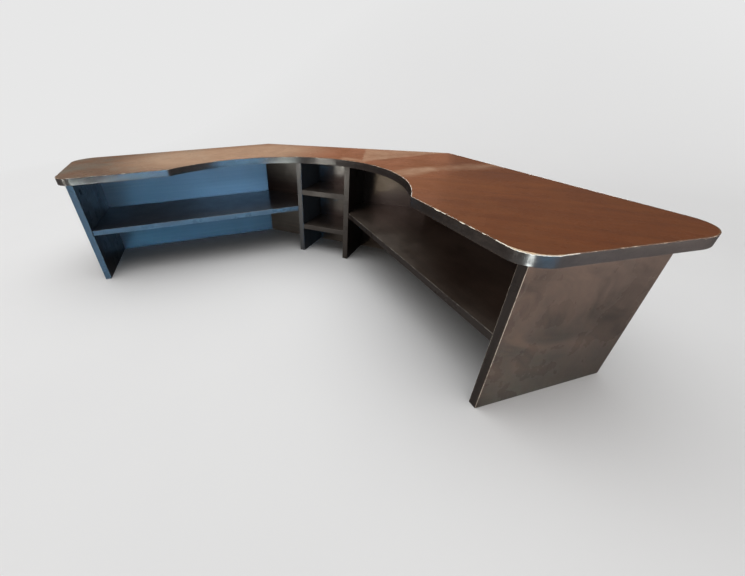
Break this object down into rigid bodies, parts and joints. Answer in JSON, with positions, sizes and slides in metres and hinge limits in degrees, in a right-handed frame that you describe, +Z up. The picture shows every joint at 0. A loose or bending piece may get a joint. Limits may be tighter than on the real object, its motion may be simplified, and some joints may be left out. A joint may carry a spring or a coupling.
{
  "type": "corner desk hutch",
  "caption": "Low open corner hutch with a concave one-piece top, angled back panels, side shelves and a stack of small cubbies in the corner.",
  "frame": {"origin": "centre of the footprint's bounding box, on the plane the hutch stands on", "axes": "+Z up, +Y to the back (the room corner), +X to the user's right; the wings lie at 45 degrees to X and Y, and the unit is symmetric about X = 0"},
  "size_m": [1.6586, 0.7148, 0.336],
  "materials": {
    "veneer_top": "red-brown stained veneer, semi-gloss lacquer, worn arrises",
    "veneer": "espresso stained veneer, semi-gloss lacquer",
    "edge_band": "espresso veneer edge band, glossy lacquer",
    "zinc": "zinc plated",
    "steel": "bright rolled steel",
    "beech": "plain fluted beech",
    "cap": "moulded dark brown"
  },
  "bodies": {
    "root": {"left_end_panel": "veneer", "left_end_panel_edge_band": "edge_band", "left_back_panel": "veneer", "left_shelf": "veneer", "left_shelf_edge_band": "edge_band", "left_divider": "veneer", "left_divider_edge_band": "edge_band", "left_shelf_dowel": "beech", "left_shelf_screw_inner": "zinc", "left_shelf_screw_outer": "zinc", "left_divider_screw": "zinc", "left_corner_plate": "steel", "left_desk_bracket": "steel", "left_plate_screw_wing": "zinc", "left_plate_screw_centre": "zinc", "left_bracket_screw": "zinc", "cam_bolt_left_end_rear": "zinc", "cam_lock_left_end_rear": "zinc", "cam_cap_left_end_rear": "cap", "cam_bolt_left_end_front": "zinc", "cam_lock_left_end_front": "zinc", "cam_cap_left_end_front": "cap", "cam_bolt_left_divider": "zinc", "cam_lock_left_divider": "zinc", "cam_cap_left_divider": "cap", "right_end_panel": "veneer", "right_end_panel_edge_band": "edge_band", "right_back_panel": "veneer", "right_shelf": "veneer", "right_shelf_edge_band": "edge_band", "right_divider": "veneer", "right_divider_edge_band": "edge_band", "right_shelf_dowel": "beech", "right_shelf_screw_inner": "zinc", "right_shelf_screw_outer": "zinc", "right_divider_screw": "zinc", "right_corner_plate": "steel", "right_desk_bracket": "steel", "right_plate_screw_wing": "zinc", "right_plate_screw_centre": "zinc", "right_bracket_screw": "zinc", "cam_bolt_right_end_rear": "zinc", "cam_lock_right_end_rear": "zinc", "cam_cap_right_end_rear": "cap", "cam_bolt_right_end_front": "zinc", "cam_lock_right_end_front": "zinc", "cam_cap_right_end_front": "cap", "cam_bolt_right_divider": "zinc", "cam_lock_right_divider": "zinc", "cam_cap_right_divider": "cap", "top_panel": "veneer_top", "top_front_edge_band": "edge_band", "top_rear_edge_band": "edge_band", "centre_back_panel": "veneer", "upper_cubby_shelf": "veneer", "upper_cubby_shelf_edge_band": "edge_band", "upper_cubby_shelf_screw": "zinc", "lower_cubby_shelf": "veneer", "lower_cubby_shelf_edge_band": "edge_band", "lower_cubby_shelf_screw": "zinc"}
  },
  "joints": []
}
